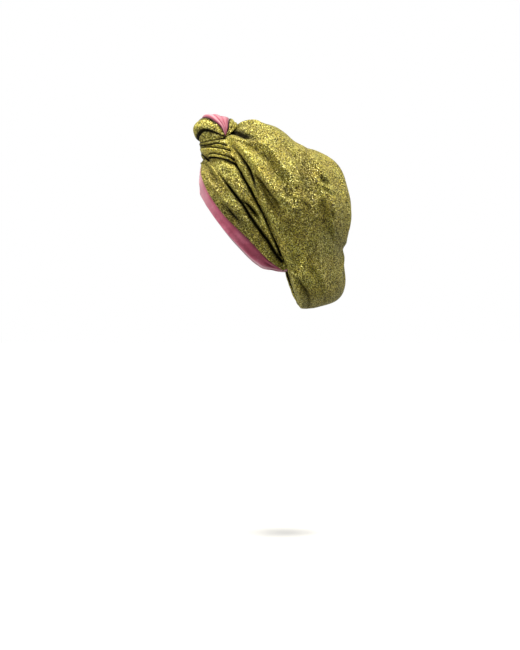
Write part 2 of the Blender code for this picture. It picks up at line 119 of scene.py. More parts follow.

# Folds as the eye sees them from the side, by the points (y, z) that each runs through, away from the knot.
# Columns: height, depth, face_width, nape_width, start, end, path
# A height below nought is a valley. Depth is how much shade is painted into the colour along its line, or
# below nought how much highlight is painted.
# It has one width on the face's side and one on the nape's side, and start and end are the shares of its
# height that are left there.
CROWN_FOLDS = (
    # The deep wedge behind the knot, a painted shadow along its upper wall, and the ridge under it
    (-6.5, 1.0, 2.2, 4.6, 1.0, 0.3, (
        (-80, 3), (-74, 4.5), (-68, 3.5), (-62, 1.5), (-56, -1), (-50, -3.5), (-45, -6),
    )),
    (-0.8, 1.0, 2.2, 3.2, 1.0, 0.6, (
        (-80, 5), (-74, 7), (-68, 6.5), (-62, 4.5), (-56, 2), (-50, -0.5), (-44, -3.5), (-40, -5.5),
    )),
    (2.2, -0.4, 1.6, 2.4, 0.6, 0.1, ((-74, -4), (-65, -6), (-55, -8), (-45, -8.5))),
    # The rolled border, and the crease behind it, which forks
    (2.8, -0.45, 2.8, 2.4, 0.5, 0.3, (
        (-75, -17), (-70, -25), (-66, -32), (-62, -39), (-58, -46), (-54, -53), (-50, -60),
        (-46, -68), (-42, -76), (-37, -85),
    )),
    (-4.6, 1.0, 1.7, 1.7, 0.5, 0.5, (
        (-73, -14), (-67, -21), (-61, -29), (-56, -36), (-51, -43), (-48, -49), (-46, -54),
        (-43, -61), (-41, -68), (-38, -76), (-35, -84),
    )),
    (-4.0, 0.6, 1.6, 1.5, 0.2, 0.3, (
        (-47, -46), (-43, -51), (-38, -57), (-33, -63), (-28, -70), (-23, -77), (-18, -83),
        (-13, -89), (-9, -95), (-6, -100), (-3, -105),
    )),
    (-2.6, 0.3, 3.6, 3.4, 0.3, 0.2, (
        (-34, -65), (-30, -71), (-25, -82), (-20, -89), (-14, -99), (-10, -108),
    )),
    # The ridges and valleys that fan out from the knot
    (6.4, 0.0, 3.8, 6.4, 0.3, 0.15, (
        (-72, -6), (-65, -11), (-58, -18), (-52, -25), (-46, -32), (-41, -39), (-36, -46),
        (-31, -54), (-26, -61), (-21, -68), (-16, -75), (-10, -82), (-4, -89), (2, -94), (8, -98),
        (14, -102),
    )),
    (-5.2, 0.12, 5.2, 4.2, 0.3, 0.3, (
        (-57, -11), (-50, -13), (-43, -16), (-36, -20), (-30, -25), (-24, -30), (-19, -36),
        (-15, -43), (-11, -50), (-5, -57), (1, -64), (6, -72), (10, -82), (14, -92),
    )),
    # Highlights painted on crests and flanks, then more ridges and valleys
    (0.2, -0.4, 6.0, 6.0, 0.6, 0.3, (
        (-66, -10), (-58, -18), (-50, -27), (-42, -36), (-34, -47), (-27, -57), (-20, -66),
    )),
    (0.2, -0.3, 6.0, 7.0, 0.4, 0.3, ((48, -34), (55, -48), (59, -64), (61, -82), (62, -98), (64, -114))),
    (0.2, -0.35, 8.0, 9.0, 0.3, 1.0, (
        (-6, -122), (4, -136), (14, -152), (24, -168), (32, -184), (37, -200), (38, -216),
        (38, -230),
    )),
    (4.8, -0.2, 3.4, 6.0, 0.3, 0.2, (
        (-50, -7), (-40, -9), (-32, -11), (-25, -15), (-19, -21), (-13, -29), (-8, -37), (-2, -44),
        (4, -51), (10, -58), (14, -66),
    )),
    (-3.6, 0.3, 4.4, 4.6, 0.2, 0.3, (
        (-12, -9), (-4, -12), (3, -18), (10, -24), (16, -30), (22, -36), (26, -43), (28, -51),
        (29, -59),
    )),
    (-3.4, 0.6, 2.8, 3.2, 0.2, 0.2, ((-1, -68), (2, -75), (5, -82), (9, -88))),
    (1.6, 0.0, 1.5, 1.5, 0.2, 0.2, ((12, -60), (15, -65), (18, -70))),
    (2.0, 0.0, 1.6, 1.8, 0.2, 0.2, ((21, -80), (25, -85), (29, -90), (34, -95), (38, -98))),
    (2.0, 0.0, 2.0, 2.2, 0.2, 0.5, (
        (-22, -98), (-18, -106), (-13, -112), (-7, -118), (-1, -125), (4, -130),
    )),
    # The long seam-like ridge down the back of the side, and the hollow before it
    (-5.0, 0.5, 8.0, 8.0, 0.5, 0.3, (
        (31, -27), (30, -36), (29, -44), (29, -52), (30, -60), (31, -68), (33, -77), (35, -86),
        (38, -95),
    )),
    (-2.0, 0.15, 5.0, 2.0, 0.2, 0.3, (
        (38, -52), (42, -63), (45, -73), (48, -83), (51, -93), (54, -103), (57, -113), (61, -124),
    )),
    (3.6, 0.0, 18.0, 24.0, 0.3, 0.5, ((42, -78), (50, -86), (60, -94), (71, -101), (82, -106))),
    # A painted highlight in a narrow line
    (0.2, -0.4, 3.5, 4.0, 0.3, 0.3, ((52, -80), (57, -92), (61, -104), (65, -116))),
    # The belly of the side, hollow at the middle and fuller below
    (-4.5, 0.12, 42.0, 24.0, 0.6, 0.3, ((-14, -140), (0, -136), (16, -131), (32, -128), (46, -128))),
    (4.0, 0.0, 2.6, 10.0, 0.3, 0.1, (
        (31, -26), (36, -31), (40, -37), (44, -44), (48, -51), (53, -57), (59, -62), (64, -67),
    )),
    (3.4, -0.35, 2.0, 2.4, 0.1, 0.4, (
        (38, -46), (41, -55), (44, -62), (47, -70), (50, -79), (53, -88), (56, -96), (58, -103),
        (61, -113), (64, -124), (68, -135), (72, -144), (78, -156),
    )),
    (-1.4, 0.45, 1.2, 2.2, 0.2, 0.5, (
        (49, -64), (53, -76), (56, -86), (59, -97), (62, -106), (65, -117), (69, -130), (74, -142),
        (81, -154),
    )),
    (-2.2, 0.25, 1.4, 1.7, 0.5, 0.2, ((48, -57), (52, -61), (57, -66), (62, -69))),
    (1.5, 0.0, 1.3, 1.3, 0.5, 0.2, ((51, -67), (56, -71), (60, -74), (65, -78))),
    (-2.2, 0.25, 1.4, 1.7, 0.5, 0.2, ((50, -70), (55, -75), (60, -79), (64, -82), (69, -85))),
    (-2.0, 0.4, 1.5, 2.5, 0.6, 0.2, ((60, -105), (64, -110), (67, -116))),
    (1.6, 0.0, 1.2, 1.6, 0.2, 0.2, ((36, -115), (41, -113), (46, -111), (51, -113), (54, -116))),
    # The slack of the bag at the nape
    (-4.0, 0.55, 2.8, 1.6, 0.3, 0.8, (
        (12, -190), (17, -197), (22, -204), (27, -211), (31, -218), (33, -226), (33, -234),
    )),
    (2.5, 0.0, 3.0, 3.0, 0.3, 0.8, ((8, -185), (12, -196), (17, -207), (21, -216), (24, -225), (25, -233))),
    (1.2, 0.0, 3.0, 4.0, 0.3, 0.3, ((26, -160), (34, -172), (44, -184), (52, -198), (56, -212))),
    (-1.2, 0.0, 4.0, 4.0, 0.3, 0.3, ((34, -185), (40, -192), (46, -200), (50, -210))),
    (-1.0, 0.1, 3.0, 4.0, 0.3, 0.3, ((52, -145), (56, -160), (62, -178), (64, -195))),
)

# The fold that hangs over the nape and the one that crosses the top: these run on over the mid-plane
SWAG_FOLDS = (
    (-2.4, 0.3, 3.0, 5.0, 0.1, 0.9, ((60, -122), (66, -137), (75, -152), (84, -163))),
    (1.6, 0.0, 7.0, 4.0, 0.2, 0.9, ((62, -112), (70, -130), (80, -146), (90, -152))),
    (-1.6, 0.1, 5.0, 6.0, 0.8, 0.2, ((30, -8), (32, -20), (30, -34), (34, -48))),
)
# The slack at the back, by the points (x, z) that each fold runs through as the eye sees it from behind
BACK_FOLDS = (
    (-4.5, 0.36, 5.0, 6.0, 0.2, 0.3, ((12, -24), (19, -50), (21, -85), (14, -120), (5, -148))),
    (3.6, -0.20, 6.0, 7.0, 0.2, 0.3, ((26, -32), (35, -62), (39, -97), (31, -130), (16, -152))),
    (-4.2, 0.36, 5.0, 7.0, 0.2, 0.3, ((-22, -28), (-36, -60), (-42, -96), (-34, -132), (-16, -155))),
    (3.3, -0.20, 6.0, 6.0, 0.2, 0.3, ((-11, -26), (-21, -56), (-25, -96), (-19, -130), (-8, -150))),
    (-3.9, 0.54, 3.5, 4.5, 0.8, 0.3, ((5, -163), (13, -182), (24, -208))),
    (-3.6, 0.54, 3.5, 4.5, 0.8, 0.3, ((-7, -164), (-19, -186), (-28, -212))),
    (2.4, -0.20, 4.0, 4.0, 0.8, 0.3, ((14, -162), (28, -176), (44, -196))),
    (2.1, -0.20, 4.0, 4.0, 0.8, 0.3, ((-16, -163), (-30, -178), (-46, -194))),
)
# The gathers behind the knot, by the points (x, y) that each runs through as the eye sees it from above
TOP_FOLDS = (
    (-3.4, 0.60, 3.0, 3.6, 0.9, 0.1, ((5, -70), (9, -56), (14, -38), (17, -16))),
    (2.8, -0.20, 3.6, 3.6, 0.9, 0.1, ((12, -68), (19, -54), (27, -36), (33, -12))),
    (-3.1, 0.45, 3.0, 4.0, 0.9, 0.1, ((20, -66), (31, -52), (42, -34))),
    (-3.4, 0.60, 3.0, 3.6, 0.9, 0.1, ((-6, -70), (-12, -55), (-20, -36), (-27, -14))),
    (2.5, -0.20, 3.6, 3.6, 0.9, 0.1, ((-13, -68), (-22, -52), (-33, -34))),
    (-2.8, 0.45, 3.0, 4.0, 0.9, 0.1, ((-22, -65), (-34, -50), (-45, -32))),
)

# The form that the velvet band and the wraps are stretched over, as level cuts
# Columns: height, front_y, half_width, middle_y
BODY_LEVELS = (
    (-10.0, -93.0, 23.0, -66.0),
    (-22.0, -99.5, 31.0, -60.0),
    (-34.0, -108.0, 40.5, -54.0),
    (-42.0, -114.4, 48.5, -48.0),
    (-56.0, -116.2, 59.0, -41.0),
    (-72.0, -115.0, 66.5, -35.0),
    (-90.0, -109.6, 71.0, -30.0),
    (-110.0, -107.5, 74.0, -26.0),
    (-130.0, -106.0, 76.0, -25.0),
    (-150.0, -103.0, 76.0, -24.0),
    (-170.0, -98.0, 74.0, -22.0),
    (-190.0, -92.0, 71.0, -20.0),
    (-210.0, -86.0, 66.0, -18.0),
)
BODY_SQUARENESS = 2.25  # of each cut: 2 is an ellipse, and more is squarer
BACK_DEPTH = 95.0  # of each cut behind its middle

# How far the wraps' borders, the wraps' folds and the velvet's folds, its painted shadow among them, lie out
# from that form
WRAP_BORDER_LIFT = 5.0
WRAP_FOLD_LIFT = 6.0
VELVET_FOLD_LIFT = 3.0

# The wraps are filled out where that form falls back under the knot. Columns: height, level, reach
WRAP_FILLS = ((4.6, -32.0, 4.5), (-1.2, -38.5, 3.0))
WRAP_BORDER_HEIGHT = 1.4  # how far their rounded front border stands out
WRAP_BORDER_FALL = 1.2  # and how far its edge falls back
WRAP_SINK = 0.8  # how deep their folds may go over the velvet
WRAP_SINK_BEHIND = 3.2  # and how much deeper behind it
UNDER_COLLAR = (0.14, 0.26)  # where they come out from under the collar, as shares of their length

# Wraps: their borders as the eye sees them, from under the knot's collar to behind the ear
# Columns: front_y, front_z, rear_y, rear_z
WRAP_STATIONS = (
    (-118.0, -17.0, -62.0, -20.0),
    (-117.0, -36.0, -56.0, -34.0),
    (-113.5, -60.0, -47.0, -50.0),
    (-100.5, -87.0, -37.0, -72.0),
    (-80.0, -114.0, -22.0, -102.0),
    (-52.0, -141.0, -8.0, -134.0),
    (-25.5, -169.0, 3.0, -160.0),
    (-3.0, -185.5, 10.0, -180.0),
)
WRAP_FOLDS = (
    # The front strip's edge with a highlight painted on it, the crease behind it down to the ear with shade
    # painted in it, and the hollow before it
    (2.4, -0.5, 1.3, 1.5, 0.3, 0.3, (
        (-114, -29), (-110, -32), (-106, -36), (-103, -40), (-100, -44), (-97, -48), (-94, -52),
        (-91, -56), (-88, -60), (-85, -64), (-82, -68), (-79, -72), (-76, -76), (-73, -80),
    )),
    (-5.5, 1.0, 1.9, 2.1, 0.3, 0.9, (
        (-97, -45), (-93, -51), (-89, -56), (-85, -61), (-81, -66), (-78, -70), (-75, -74),
        (-71, -79), (-67, -84), (-63, -89), (-58, -95), (-54, -102), (-49, -110), (-44, -117),
        (-40, -123), (-34, -131), (-30, -137), (-25, -143), (-20, -151), (-16, -158), (-12, -164),
        (-8, -169), (-4, -173),
    )),
    (-4.0, 0.9, 1.5, 1.8, 0.9, 0.1, ((-112, -27), (-109, -30), (-106, -34), (-103, -37))),
    (-3.0, 0.3, 2.5, 2.0, 0.8, 0.2, (
        (-114, -33), (-111, -39), (-107, -44), (-103, -49), (-99, -54), (-95, -60), (-91, -65),
        (-87, -70),
    )),
    (3.0, 0.0, 3.5, 3.5, 0.3, 0.3, (
        (-111, -51), (-107, -57), (-103, -64), (-98, -71), (-93, -77), (-88, -83), (-83, -89),
        (-77, -95), (-72, -101), (-66, -108),
    )),
    (-4.5, 0.85, 1.7, 1.9, 0.4, 0.2, (
        (-85, -94), (-81, -98), (-77, -103), (-74, -107), (-70, -111), (-66, -115), (-62, -120),
        (-57, -125),
    )),
    (1.4, 0.0, 2.0, 2.0, 0.2, 0.2, ((-90, -92), (-84, -99), (-78, -106), (-72, -113), (-64, -121))),
    # The short crease between the long one and the crown, with the rounded tops beside it
    (-4.5, 0.9, 1.6, 1.9, 0.5, 0.2, (
        (-60, -87), (-55, -92), (-50, -96), (-46, -101), (-42, -106), (-38, -110), (-35, -115),
    )),
    (1.6, 0.0, 1.3, 1.3, 0.2, 0.3, (
        (-58, -91), (-53, -98), (-48, -105), (-43, -112), (-38, -119), (-33, -126),
    )),
    (3.0, -0.3, 2.0, 1.8, 0.3, 0.6, (
        (-60, -78), (-56, -82), (-51, -87), (-46, -93), (-41, -98), (-37, -103), (-33, -109),
        (-30, -116), (-27, -123), (-23, -131), (-20, -138), (-16, -146), (-12, -154), (-9, -161),
    )),
    (2.0, -0.3, 4.0, 4.0, 0.5, 0.2, (
        (-92, -36), (-84, -39), (-76, -45), (-70, -52), (-66, -60), (-61, -70),
    )),
    (-1.6, 0.3, 1.8, 2.0, 0.2, 0.2, ((-88, -46), (-82, -48), (-76, -50), (-70, -53))),
    # Broad painted shade along the lower wrap, over a shallow hollow
    (-1.5, 0.45, 12.0, 8.0, 0.6, 0.5, (
        (-94, -92), (-86, -100), (-78, -107), (-68, -116), (-58, -125), (-48, -135), (-40, -143),
    )),
    # Painted shadow under the collar's border
    (-1.2, 1.0, 1.5, 1.5, 0.7, 0.8, (
        (-112, -31.2), (-106.7, -30.4), (-100.7, -29.2), (-96, -29.3), (-90, -30.3), (-84, -32.1),
        (-80, -33.5), (-74, -36), (-68, -38.8),
    )),
    # The fall under the crown's border
    (-6.0, 1.0, 2.2, 8.0, 0.7, 1.0, (
        (-69, -36), (-65, -43), (-62, -48), (-59, -54), (-56, -59), (-52, -65), (-48, -73),
        (-43, -82), (-39, -89), (-35, -97), (-31, -104), (-27, -111), (-24, -118), (-20, -126),
        (-16, -136), (-12, -146), (-8, -156), (-5, -164),
    )),
)

# Velvet band: its borders by the turn round from the middle of the brow
# Columns: turn, lower_z, upper_z
VELVET_STATIONS = (
    (-20.0, -100.0, -43.5),
    (0.0, -85.5, -33.0),
    (20.0, -100.0, -43.5),
    (40.0, -124.0, -76.0),
    (60.0, -152.0, -111.0),
    (80.0, -180.0, -149.0),
    (92.0, -187.0, -172.0),
    (101.0, -189.5, -183.0),
)
VELVET_ENDS = (80.0, 101.0)  # where the band thins out, by the turn
VELVET_BORDER = 5.0  # width of the turned lower border
VELVET_PLUMPNESS = (0.6, 1.6)  # how far it stands out at the ends, and how much more over the brow
VELVET_BORDER_FALL = 1.6  # how far its edge falls back
VELVET_REBATE = 1.0  # how much lower the band lies under the wraps
PAINTED_RIM_HIGHLIGHT = 2.4  # how far up from the turned edge a highlight is painted, for the pile's sheen
PAINTED_BROW_LIGHT = 0.35  # how much paler the band is painted over the brow, a painted highlight
VELVET_FOLDS = (
    # Painted shadow of the wraps' front border
    (-0.6, 0.85, 3.0, 3.0, 0.1, 1.0, (
        (-119, -36), (-117.5, -46), (-114, -56), (-112, -62), (-109, -70), (-106, -76), (-102, -83),
        (-98, -89), (-94, -95), (-90, -100), (-86, -105), (-82, -110), (-77, -115), (-71, -120),
        (-66, -125), (-60, -132), (-55, -137), (-48, -143), (-40, -151), (-32, -159), (-26, -165),
        (-20, -171), (-13, -176), (-7, -181),
    )),
    # The tail's two pleats under the ear
    (1.6, 0.0, 1.5, 1.5, 0.2, 0.3, ((-30, -168), (-23, -173), (-17, -177), (-11, -180), (-5, -183))),
    (-2.0, 0.9, 1.2, 1.5, 0.2, 0.3, ((-28, -174), (-22, -178), (-16, -181), (-10, -183))),
)

# Collar round the foot of the knot: its face as level cuts, and its borders by the turn from the mid-plane
# Columns: height, front_y, half_width, middle_y
COLLAR_LEVELS = (
    (-7.0, -118.5, 31.5, -76.0),
    (-15.0, -116.5, 37.0, -72.0),
    (-25.0, -115.0, 44.5, -65.0),
    (-35.0, -117.5, 53.8, -59.0),
    (-45.0, -123.0, 62.0, -52.0),
)
# Columns: turn, lower_z, upper_z
COLLAR_BORDERS = (
    (0.0, -28.5, -10.5),
    (30.0, -32.0, -11.0),
    (55.0, -33.9, -10.0),
    (75.0, -38.9, -8.5),
    (96.0, -45.6, -6.5),
)
COLLAR_FRONT = (8.0, 36.0)  # where its pleats reach their full height, by the turn
COLLAR_LOWER_FALL = 1.4  # how far its borders fall back
COLLAR_UPPER_FALL = 1.2
COLLAR_SHADOW = 2.2  # how far down from the knot shade is painted on it
COLLAR_LIGHT = 0.25  # how much lighter it is painted between the creases
COLLAR_FOLDS = (
    (-3.6, 1.0, 1.3, 1.3, 0.6, 0.9, (
        (-124, -15), (-116, -14), (-111, -13.5), (-105, -12.5), (-99, -11.5), (-93, -10.8),
        (-87, -12), (-81, -14),
    )),
    (2.2, -0.9, 1.0, 1.0, 0.3, 0.6, ((-99, -13.5), (-93, -13.2), (-88, -14), (-84, -15.3), (-79, -17))),
    (-3.4, 1.0, 1.0, 1.0, 0.3, 0.9, (
        (-124, -18), (-117, -17), (-111, -16), (-105, -15.5), (-100, -16), (-95, -16), (-90, -17),
        (-85, -18), (-80, -19.3), (-75, -21),
    )),
    (3.4, -0.9, 1.8, 1.5, 0.6, 0.5, (
        (-124, -20.5), (-114, -19), (-107, -19.5), (-101, -20), (-95, -20.5), (-88, -21.5),
        (-82, -22.7), (-76, -24.5),
    )),
    (-4.6, 1.0, 1.4, 1.3, 0.8, 1.0, (
        (-109, -29), (-106.5, -26.6), (-103, -24.6), (-99, -24.3), (-95, -24.9), (-90, -26.1),
        (-85, -27.5), (-81, -28.2), (-76, -29.5), (-70, -32),
    )),
    (2.6, -1.0, 1.0, 0.9, 0.5, 0.7, (
        (-108, -28), (-103, -27.3), (-98, -27.4), (-92, -28), (-86, -29.2), (-79, -30.9),
        (-74, -32.9), (-68, -36.5),
    )),
    # The front wrap's edge, which runs on up over the collar: a crease with shade painted in it, and a
    # highlight painted on the edge
    (-4.0, 1.0, 1.4, 1.3, 0.5, 1.0, (
        (-122, -21.5), (-118, -23.2), (-115, -25.4), (-112, -28.6), (-108, -32), (-104, -35),
    )),
    (2.6, -0.8, 1.1, 1.1, 0.5, 1.0, (
        (-122, -24.5), (-118, -26), (-114.5, -28.6), (-111, -32.5), (-107, -36.5),
    )),
)

# Knot: the rolls' outer radius by the angle from the crown side over the top to the front
# Columns: angle, radius
ROLL_RADII = (
    (32.0, 22.0),
    (45.0, 24.5),
    (60.0, 27.8),
    (80.0, 30.4),
    (100.0, 33.8),
    (120.0, 41.2),
    (140.0, 46.8),
    (160.0, 48.0),
    (175.0, 43.5),
    (190.0, 38.5),
    (205.0, 33.0),
)
# The borders between the rolls, at each fifth of the way from the mid-plane out to the pinch
ROLL_BORDERS = {
    "crown": (50.0, 49.0, 47.0, 44.0, 40.0, 34.0),
    "tuck": (81.0, 81.0, 80.5, 80.0, 78.5, 72.0),
    "velvet": (139.0, 138.0, 135.0, 130.5, 125.0, 112.0),
    "loop": (184.0, 182.0, 177.0, 170.0, 161.0, 157.0),
    "core": (195.0, 195.0, 195.0, 196.0, 198.0, 208.0),
}
# How far each roll lies inside the outline
ROLL_DEPTHS = {"tuck": 0.0, "velvet": 0.0, "loop": 0.0, "core": 3.0}
# Pleats across each roll, with the border nearer the crown at 0. Columns: middle, half_width, height
ROLL_PLEATS = {
    "tuck": ((0.12, 0.36, 2.6), (0.72, 0.28, 2.2)),
    "velvet": ((0.20, 0.24, 2.4), (0.53, 0.17, 2.2), (0.84, 0.17, 3.2)),
    "loop": ((0.11, 0.15, 2.6), (0.57, 0.45, 4.6)),
    "core": ((0.26, 0.28, 3.2), (0.72, 0.34, 3.6)),
}
PLEAT_ROUNDNESS = 0.6
# How much highlight is painted on the crest of each roll
CREST_LIGHT = {"tuck": 0.6, "velvet": 1.3, "loop": 0.6, "core": 0.0}
# The way round a roll from the middle of its outer face: where the outer face ends, where its sides end, and
# where the inner face starts, with the share that is left for it
OUTER_FACE_END = 0.75
SIDES_END = 0.95
INNER_FACE_START = 0.92
INNER_FACE_SHARE = 0.08
POLE_SHARE = 0.997  # the rolls stop just short of the pinch, where they would have no width
LEAST_FALL = 0.03  # nor do they get thinner than this share there
LEAST_RADIUS = 0.4
DEEPEST_PLEAT = 0.32  # as a share of the radius
EDGE_SHARPNESS = 3.6  # how close to its borders shade is painted on a roll

# How a fold is drawn along its path: it widens away from the knot, fades in over the first share and out from
# the second. Valleys are sharper than ridges, and the painted shade is wider than the form.
STEPS_PER_POINT = 6
WIDTH_AT_START = 0.85
WIDENING = 0.3
FADE_IN_END = 0.3
FADE_OUT_START = 0.6
VALLEY_SHARPNESS = 1.5
RIDGE_SHARPNESS = 2.0
SHADE_SPREAD = 1.35

# The cloth's slack: how high it stands, the length of its waves along x, y and z, and a seed
SLACK = {
    "crown": ((1.5, (60.0, 46.0, 46.0), 1), (0.5, (18.0, 13.0, 17.0), 2)),
    "wrap": ((0.5, (22.0, 16.0, 16.0), 3),),
    "velvet": ((0.3, (30.0, 16.0, 16.0), 4),),
    "collar": ((0.35, (16.0, 12.0, 7.0), 5),),
    "roll": ((0.35, (14.0, 9.0, 9.0), 6),),
}
SEED_STEP = 17.3  # far enough from one seed to the next for waves that have nothing in common


# Measuring functions, each for many places at once
def spline(rows, share):
    """The table's columns at each share, from 0 at the first row to 1 at the last, on smooth curves."""
    rows = np.asarray(rows, float)
    place = np.clip(share, 0.0, 1.0) * (len(rows) - 1)
    index = np.minimum(place.astype(int), len(rows) - 2)
    part = (place - index)[:, None]
    before = rows[np.maximum(index - 1, 0)]
    first = rows[index]
    second = rows[index + 1]
    after = rows[np.minimum(index + 2, len(rows) - 1)]
    bend = part**2 * (before - 2.5 * first + 2.0 * second - 0.5 * after)
    twist = part**3 * (1.5 * first - 1.5 * second + 0.5 * after - 0.5 * before)
    return first + 0.5 * part * (second - before) + bend + twist


def look_up(rows, key):
    """The other columns of a table at values of its first column, which rises or falls from row to row."""
    rows = np.asarray(rows, float)
    sign = 1.0 if rows[-1, 0] > rows[0, 0] else -1.0
    index = np.clip(np.searchsorted(sign * rows[:, 0], sign * key) - 1, 0, len(rows) - 2)
    low = rows[index, 0]
    high = rows[index + 1, 0]
    return spline(rows, (index + (key - low) / (high - low)) / (len(rows) - 1))[:, 1:].T


def smooth(low, high, value):
    """0 below low, 1 above high and a smooth step between."""
    share = np.clip((value - low) / (high - low), 0.0, 1.0)
    return share * share * (3.0 - 2.0 * share)


def falling(low, high, value):
    """1 below low, 0 above high and a smooth step between."""
    return 1.0 - smooth(low, high, value)


def swell(value, middle, width):
    """1 at the middle, falling to nearly 0 two widths away on each side."""
    return np.exp(-(((value - middle) / width) ** 2))


def power(value, exponent):
    """A power that keeps the value's sign."""
    return np.copysign(np.abs(value) ** exponent, value)


def unit(vectors):
    """Each row at the length 1."""
    return vectors / np.maximum(np.linalg.norm(vectors, axis=1), 1e-9)[:, None]


def normals_of(surface, u, v, step=2e-3):
    """The unit normals of surface(u, v), by small differences."""
    along_u = surface(u + step, v) - surface(u - step, v)
    along_v = surface(u, np.minimum(v + step, 1.0)) - surface(u, np.maximum(v - step, 0.0))
    return unit(np.cross(along_u, along_v))


def slack(piece, points):
    """The soft waves that the cloth of a piece lies in."""
    height = 0.0
    for rise, size, seed in SLACK[piece]:
        scaled = points / np.array(size) + seed * SEED_STEP
        height = height + rise * np.array([noise.noise(Vector(place)) for place in scaled])
    return height


def seen(points):
    """Each point as the eye sees it from the side: its y and z once thrown onto the mid-plane."""
    near = CAMERA_X / (CAMERA_X - np.abs(points[:, 0]))
    return AIM_Y + (points[:, 1] - AIM_Y) * near, AIM_Z + (points[:, 2] - AIM_Z) * near


def along(path, y, z):
    """The distance to a smooth path, above 0 on the nape's side, and the share of the path covered."""
    line = spline(path, np.linspace(0.0, 1.0, STEPS_PER_POINT * (len(path) - 1) + 1))
    best = np.full(len(y), 1e9)
    share = np.zeros(len(y))
    side = np.ones(len(y))
    for index in range(len(line) - 1):
        run = line[index + 1] - line[index]
        off_y = y - line[index, 0]
        off_z = z - line[index, 1]
        part = np.clip((off_y * run[0] + off_z * run[1]) / (run @ run), 0.0, 1.0)
        distance = np.hypot(off_y - part * run[0], off_z - part * run[1])
        closer = distance < best
        best[closer] = distance[closer]
        share[closer] = ((index + part) / (len(line) - 1))[closer]
        side[closer] = np.sign(run[0] * off_z - run[1] * off_y)[closer]
    return best * side, share


def fold(folds, y, z):
    """The height of the folds at places of a view, and the shade painted at each place, below nought a
    painted highlight on a crest.
    """
    height = np.zeros(len(y))
    dark = np.zeros(len(y))
    light = np.zeros(len(y))
    for rise, depth, face_width, nape_width, start, end, path in folds:
        distance, share = along(path, y, z)
        width = np.where(distance < 0.0, face_width, nape_width) * (WIDTH_AT_START + WIDENING * share)
        fade_in = start + (1.0 - start) * smooth(0.0, FADE_IN_END, share)
        fade = fade_in * (1.0 - (1.0 - end) * smooth(FADE_OUT_START, 1.0, share))
        sharpness = VALLEY_SHARPNESS if rise < 0.0 else RIDGE_SHARPNESS
        height += rise * (fade * np.exp(-((np.abs(distance) / width) ** sharpness)))
        around = fade * swell(distance, 0.0, SHADE_SPREAD * width)
        dark = np.maximum(dark, depth * around)
        light = np.maximum(light, -depth * around)
    return height, dark - light * (1.0 - dark)


def pleats(rows, across):
    """The height of rounded pleats at places across a piece, from 0 to 1."""
    heights = [
        height * np.maximum(0.0, 1.0 - ((across - middle) / half_width) ** 2) ** PLEAT_ROUNDNESS
        for middle, half_width, height in rows
    ]
    return np.max(heights, axis=0)


# Surfaces. Each gives points in millimetres, and the shade painted at each place, below nought a painted
# highlight.
def crown_base(s, t):
    """The crown with no folds. s runs from the right border at -1 over the spine to the left border at 1."""
    spine_y, spine_z, edge_y, edge_z, half_width, edge_x = spline(CROWN_HOOPS, t).T
    angle = np.radians(90.0 * s)
    reach = np.maximum(np.cos(angle), 0.0) ** CROWN_ROUNDNESS
    width = half_width * power(np.sin(angle), CROWN_ROUNDNESS)
    # The hoops draw in to the border, and later towards the nape
    draw = smooth(LIP_START + 0.1 * smooth(0.62, 0.8, t), 1.0, np.abs(s))
    width += np.copysign(1.0, s) * (edge_x - half_width) * draw
    return np.stack((width, edge_y + (spine_y - edge_y) * reach, edge_z + (spine_z - edge_z) * reach), axis=1)


def crown_face(x, y):
    """The crown with its folds, from x and y between -1 and 1. The grid is finer towards the borders."""
    s = (1.0 + BORDER_CROWDING) * x - BORDER_CROWDING * x**3
    t = (y + 1.0) / 2.0
    down = np.abs(s)
    base = crown_base(s, t)
    out = normals_of(crown_base, np.clip(s, -0.995, 0.995), t)
    side_y, side_z = seen(base)
    far = base[:, 0] < 0.0
    reach, wave, start = FAR_WANDER_Y
    side_y += np.where(far, reach * np.sin(side_z / wave + start), 0.0)
    reach, wave, start = FAR_WANDER_Z
    side_z += np.where(far, reach * np.sin(side_y / wave + start), 0.0)
    off_spine = smooth(*SPINE_BLEND, down)
    off_border = falling(*BORDER_BLEND, down)
    height, shade = fold(CROWN_FOLDS, side_y, side_z)
    height *= off_spine * off_border
    swags, swag_shade = fold(SWAG_FOLDS, side_y, side_z)
    drapes, drape_shade = fold(BACK_FOLDS, base[:, 0], base[:, 2])
    gathers, gather_shade = fold(TOP_FOLDS, base[:, 0], base[:, 1])
    behind = smooth(*BACK_BLEND, base[:, 1]) * off_border
    above = smooth(*TOP_BLEND, base[:, 2]) * off_border
    height += swags * off_border + drapes * behind + gathers * above
    # Shade is painted where the crown goes in under the knot
    inside_knot = falling(0.008, 0.03, t)
    shade = shade * off_spine + swag_shade + drape_shade * behind + gather_shade * above + inside_knot
    # A highlight is painted on the top
    shade -= TOP_LIGHT * smooth(*TOP_LIGHT_RANGE, base[:, 2])
    height += slack("crown", base) * smooth(0.0, 0.12, t) * (0.35 + 0.65 * off_spine) * off_border
    # The border is turned under: a rounded lip that falls to its edge
    lip = smooth(0.08, 0.2, t) * falling(0.86, 0.94, t)
    height += lip * LIP_HEIGHT * swell(down, 0.945, 0.035)
    height -= (1.0 + LIP_FALL * lip) * smooth(0.968, 1.0, down)
    # So is the bag's end at the nape
    height += NAPE_LIP_HEIGHT * swell(t, 0.975, 0.015) - NAPE_LIP_FALL * smooth(0.985, 1.0, t)
    return base + out * height[:, None], np.clip(shade, -1.0, 1.0)


def level_face(levels, turn, z):
    """A face given as level cuts, at turns from the mid-plane and heights."""
    front_y, half_width, middle_y = look_up(levels, z)
    exponent = 2.0 / BODY_SQUARENESS
    forward = power(np.cos(np.radians(turn)), exponent)
    sideways = power(np.sin(np.radians(turn)), exponent)
    depth = np.where(forward > 0.0, middle_y - front_y, BACK_DEPTH)
    return np.stack((half_width * sideways, middle_y - forward * depth, z), axis=1)


